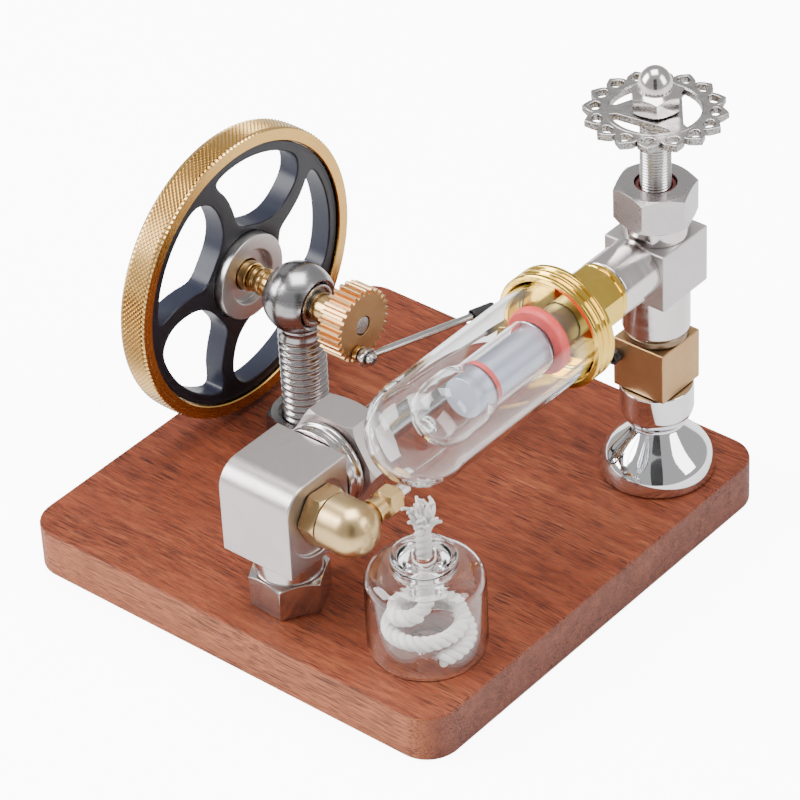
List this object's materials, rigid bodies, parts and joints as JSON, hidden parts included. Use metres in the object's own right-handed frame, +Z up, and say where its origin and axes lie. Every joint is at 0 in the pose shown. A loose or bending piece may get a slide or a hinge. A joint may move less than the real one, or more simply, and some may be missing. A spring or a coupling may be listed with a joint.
{
  "type": "model hot-air engine",
  "caption": "Table-top hot-air engine on a wooden board: glass hot tube over a spirit lamp, valve with handwheel, power cylinder, crank gear and spoked flywheel.",
  "frame": {"origin": "centre of the base board, at its underside", "axes": "+X along the crankshaft from the flywheel towards the valve side, +Y along the cylinders towards the valve column, +Z up"},
  "size_m": [0.15, 0.152, 0.1491],
  "materials": {
    "wood": "lacquered reddish hardwood with fine dark pores",
    "nickel": "satin nickel plate",
    "steel": "ground steel",
    "chrome": "mirror polished",
    "brass": "turned brass",
    "gold": "polished gold-coloured plate",
    "black_metal": "blue-black anodised",
    "black_plastic": "matt black",
    "aluminium": "turned aluminium",
    "red_rubber": "silicone",
    "glass": "clear borosilicate",
    "cotton": "twisted cotton rope",
    "silver": "antique silver plate over a casting"
  },
  "bodies": {
    "engine_frame": {"base_board": "wood", "column_foot_nut": "nickel", "bearing_column": "nickel", "cylinder_block": "nickel", "cylinder_neck": "nickel", "cylinder_nut": "nickel", "valve_body": "nickel", "gland_nut": "nickel", "block_foot": "nickel", "base_screw_column": "steel", "base_screw_block": "steel", "base_screw_valve": "steel", "bearing_outer_wheel": "steel", "bearing_outer_gear": "steel", "power_cylinder": "steel", "flared_foot": "chrome", "foot_cup": "chrome", "elbow_flange": "brass", "dome_elbow": "brass", "nozzle": "brass", "column_block": "brass", "collar_ring": "gold", "collar_neck": "gold", "tube_fitting": "black_plastic", "column_seal": "black_plastic", "guide_tube": "aluminium", "nozzle_tip": "aluminium", "buffer_ring": "red_rubber", "slide_ring": "red_rubber", "packing_ring": "red_rubber", "hot_tube": "glass", "transfer_tube": "glass"},
    "crankshaft": {"crankshaft": "steel", "flywheel_rim": "brass", "flywheel_spider": "black_metal", "flywheel_hub": "aluminium", "hub_bush": "brass", "shaft_spacer": "brass", "gear_spacer": "brass", "crank_gear": "brass", "crank_pin": "steel", "pin_washer": "brass", "pin_collar": "steel", "bearing_inner_wheel": "steel", "bearing_inner_gear": "steel"},
    "connecting_rod": {"connecting_rod": "steel", "rod_end": "black_plastic"},
    "piston": {"power_piston": "steel", "piston_crosshead": "brass"},
    "displacer": {"displacer": "glass"},
    "handwheel": {"valve_stem": "steel", "handwheel": "silver", "acorn_nut": "nickel"},
    "lamp": {"lamp_bottle": "glass", "lamp_burner": "glass", "wick": "cotton"}
  },
  "joints": [
    {"name": "crankshaft_turn", "type": "hinge", "parent": "engine_frame", "child": "crankshaft", "pos_m": [-0.039, 0.0065, 0.0615], "axis": [1, 0, 0], "continuous": true},
    {"name": "rod_pivot", "type": "hinge", "parent": "crankshaft", "child": "connecting_rod", "pos_m": [-0.0195, 0.0028, 0.0543], "axis": [1, 0, 0], "continuous": true},
    {"name": "piston_slide", "type": "slide", "parent": "engine_frame", "child": "piston", "axis": [0, 1, 0], "range_m": [-0.0055, 0.0105]},
    {"name": "displacer_slide", "type": "slide", "parent": "engine_frame", "child": "displacer", "axis": [0, 1, 0], "range_m": [-0.012, 0.0015]},
    {"name": "handwheel_turn", "type": "hinge", "parent": "engine_frame", "child": "handwheel", "pos_m": [0.0541, 0.0525, 0.136], "axis": [0, 0, 1], "range_deg": [-360, 720]},
    {"name": "lamp_slide", "type": "slide", "parent": "engine_frame", "child": "lamp", "axis": [0, -1, 0], "range_m": [0, 0.02]}
  ],
  "couplings": [
    {"joint": "rod_pivot", "follows": "crankshaft_turn", "ratio": -1}
  ]
}
